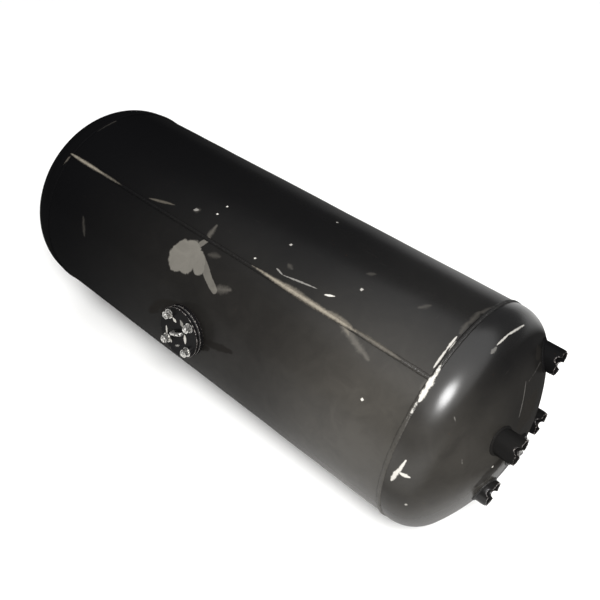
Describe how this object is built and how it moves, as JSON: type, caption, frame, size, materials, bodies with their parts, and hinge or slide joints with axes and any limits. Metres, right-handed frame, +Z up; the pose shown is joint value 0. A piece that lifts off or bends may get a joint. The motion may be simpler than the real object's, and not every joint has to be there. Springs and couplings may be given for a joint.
{
  "type": "horizontal pressure tank",
  "caption": "Welded steel pressure tank lying on its side: round shell, dished ends, four sawn-off tube feet on one end, a central drain socket and a bolted hand hole on the front.",
  "frame": {"origin": "under the middle of the bounding box, on the floor the tank lies on", "axes": "+X along the tank towards the end with the feet, +Y away from the hand hole, +Z up"},
  "size_m": [1.494, 0.5992, 0.5525],
  "materials": {
    "tank_paint": "worn glossy black enamel",
    "weld_bead": "painted weld, chipped",
    "bare_steel": "bare bright steel, dirty",
    "bush_steel": "bare machined steel",
    "gasket": "matt black rubber"
  },
  "bodies": {
    "root": {"shell": "tank_paint", "feet_head": "tank_paint", "plain_head": "tank_paint", "port_neck": "tank_paint", "port_flange": "tank_paint", "port_cover": "tank_paint", "drain_socket": "tank_paint", "foot_1": "tank_paint", "foot_2": "tank_paint", "foot_3": "tank_paint", "foot_4": "tank_paint", "shell_seam": "weld_bead", "feet_head_seam": "weld_bead", "plain_head_seam": "weld_bead", "drain_socket_weld": "weld_bead", "port_neck_weld": "weld_bead", "foot_1_weld": "weld_bead", "foot_2_weld": "weld_bead", "foot_3_weld": "weld_bead", "foot_4_weld": "weld_bead", "port_studs": "bare_steel", "port_washers": "bare_steel", "port_nuts": "bare_steel", "port_handle": "bare_steel", "drain_bush": "bush_steel", "port_gasket": "gasket"}
  },
  "joints": []
}
